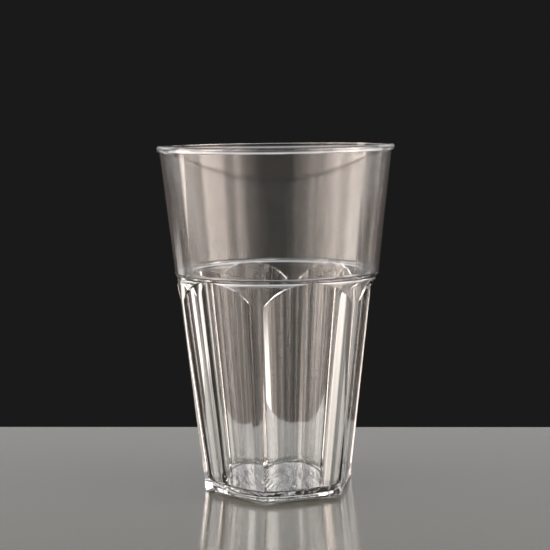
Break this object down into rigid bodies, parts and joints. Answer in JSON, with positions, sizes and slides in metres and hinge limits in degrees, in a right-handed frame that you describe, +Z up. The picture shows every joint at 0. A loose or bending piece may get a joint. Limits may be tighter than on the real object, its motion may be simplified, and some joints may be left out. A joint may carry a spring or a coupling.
{
  "type": "plastic tumbler cup",
  "caption": "Clear plastic tumbler with a round flared upper wall on a faceted lower body whose flat sides end in arches.",
  "frame": {"origin": "middle of the flat face that the tumbler stands on", "axes": "+Z up through the mouth, -Y towards a corner of the faceted body"},
  "size_m": [0.0873, 0.0872, 0.127],
  "materials": {
    "clear_plastic": "clear, polished mould"
  },
  "bodies": {
    "root": {"tumbler": "clear_plastic"}
  },
  "joints": []
}
